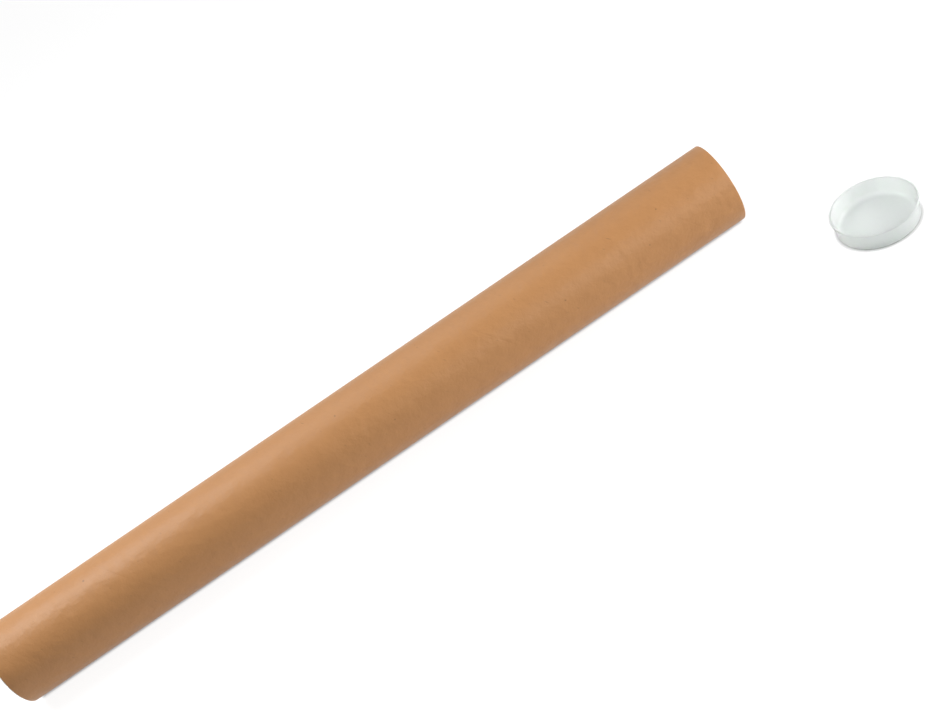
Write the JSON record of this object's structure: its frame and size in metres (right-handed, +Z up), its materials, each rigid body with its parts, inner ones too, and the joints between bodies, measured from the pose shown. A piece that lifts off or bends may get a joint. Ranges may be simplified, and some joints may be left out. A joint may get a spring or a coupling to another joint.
{
  "type": "cardboard mailing tube",
  "caption": "Spiral-wound kraft cardboard mailing tube lying on its side, with one push-in plastic end plug fitted and one lying loose beside the open mouth.",
  "frame": {"origin": "centre of the tube's open mouth, in the plane of its cut edge", "axes": "+X along the tube's axis and out of the open mouth, +Z up from the surface that the tube and the loose plug lie on"},
  "size_m": [0.7184, 0.1598, 0.064],
  "materials": {
    "kraft_board": "smooth wound kraft paper, matt",
    "plug_plastic": "natural translucent polyethylene, satin"
  },
  "bodies": {
    "tube": {"tube": "kraft_board", "loose_plug": "plug_plastic"},
    "fitted_plug": {"fitted_plug": "plug_plastic"}
  },
  "joints": [
    {"name": "plug_pull", "type": "slide", "parent": "tube", "child": "fitted_plug", "axis": [-1, 0, 0], "range_m": [0, 0.03]}
  ]
}
